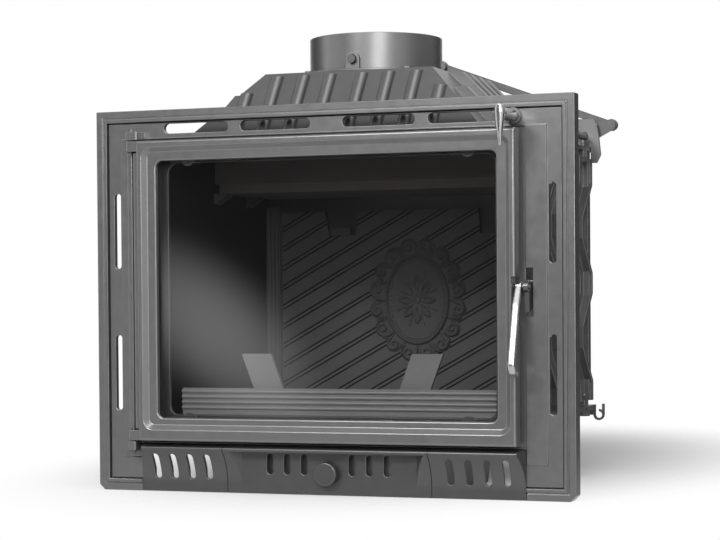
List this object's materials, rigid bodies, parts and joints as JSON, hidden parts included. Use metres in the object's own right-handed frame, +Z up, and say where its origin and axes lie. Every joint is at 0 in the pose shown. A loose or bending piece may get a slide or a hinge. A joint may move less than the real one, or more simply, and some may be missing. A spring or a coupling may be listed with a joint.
{
  "type": "fireplace insert",
  "caption": "Cast-iron fireplace insert with a ribbed hood and flue collar, a glazed side-hung door, a flue damper worked by a front lever, and an ash drawer with an air slide.",
  "frame": {"origin": "on the plane the insert stands on, below the axis of the flue collar", "axes": "+Z up along the flue, -Y out through the door, +X to the right as seen from the front"},
  "size_m": [0.7, 0.487, 0.647],
  "materials": {
    "cast_grey": "satin grey coat",
    "cast_inner": "matt",
    "support_steel": "matt",
    "bright_steel": "polished",
    "dark_steel": "satin",
    "sheet_steel": "rolled",
    "zinc": "zinc plated",
    "glass": "clear, heat-proof",
    "rope": "braided glass fibre"
  },
  "bodies": {
    "firebox": {"front_plate": "cast_grey", "louvre_panel_right": "cast_grey", "louvre_panel_left": "cast_grey", "louvre_bolts": "zinc", "latch_keeper": "dark_steel", "hinge_pins": "dark_steel", "side_wall_right": "cast_grey", "side_wall_left": "cast_grey", "back_wall": "cast_grey", "firebox_floor": "cast_grey", "flange_bolts": "zinc", "flange_nuts": "zinc", "side_hooks": "dark_steel", "hood": "cast_grey", "flue_collar": "cast_grey", "collar_bolts": "zinc", "lever_bush": "dark_steel", "shaft_bracket": "dark_steel", "bracket_bolt": "zinc", "ash_box": "cast_grey", "grate": "cast_inner", "side_liner_right": "cast_inner", "side_liner_left": "cast_inner", "back_plate": "cast_inner", "plate_hangers": "cast_inner", "corner_posts": "cast_inner", "medallion": "cast_inner", "baffle_pegs": "cast_inner", "baffle_lower": "cast_inner", "baffle_upper": "cast_inner", "log_guard": "cast_inner", "log_support_right": "support_steel", "log_support_left": "support_steel"},
    "door": {"door_frame": "cast_grey", "door_glass": "glass", "glass_tape": "rope", "glass_clips": "sheet_steel", "clip_screws": "zinc", "door_rope": "rope"},
    "handle": {"handle_bar": "bright_steel", "handle_pin": "dark_steel", "latch_cam": "dark_steel"},
    "drawer": {"drawer_front": "cast_grey", "ash_pan": "sheet_steel"},
    "air_slide": {"air_shutter": "sheet_steel", "air_knob": "dark_steel"},
    "lever": {"damper_lever": "bright_steel", "lever_shaft": "dark_steel", "shaft_crank": "dark_steel", "shaft_link_washer": "zinc"},
    "link": {"link_rod": "dark_steel"},
    "damper": {"damper_spindle": "dark_steel", "damper_blade": "sheet_steel", "spindle_crank": "dark_steel", "spindle_link_washer": "zinc"}
  },
  "joints": [
    {"name": "door_hinge", "type": "hinge", "parent": "firebox", "child": "door", "pos_m": [-0.2905, -0.218, 0.283], "axis": [0, 0, -1], "range_deg": [0, 110]},
    {"name": "handle_turn", "type": "hinge", "parent": "door", "child": "handle", "pos_m": [0.276, -0.218, 0.284], "axis": [-1, 0, 0], "range_deg": [0, 60]},
    {"name": "drawer_slide", "type": "slide", "parent": "firebox", "child": "drawer", "axis": [0, -1, 0], "range_m": [0, 0.22]},
    {"name": "air_slide_move", "type": "slide", "parent": "drawer", "child": "air_slide", "axis": [-1, 0, 0], "range_m": [0, 0.012]},
    {"name": "lever_turn", "type": "hinge", "parent": "firebox", "child": "lever", "pos_m": [0.266, 0, 0.51], "axis": [0, -1, 0], "range_deg": [0, 90]},
    {"name": "link_turn", "type": "hinge", "parent": "lever", "child": "link", "pos_m": [0.30437, 0.1935, 0.52708], "axis": [0, -1, 0], "range_deg": [-90, 0]},
    {"name": "damper_turn", "type": "hinge", "parent": "firebox", "child": "damper", "pos_m": [0, 0, 0.609], "axis": [0, -1, 0], "range_deg": [0, 90]}
  ],
  "couplings": [
    {"joint": "link_turn", "follows": "lever_turn", "ratio": -1},
    {"joint": "damper_turn", "follows": "lever_turn", "ratio": 1}
  ]
}
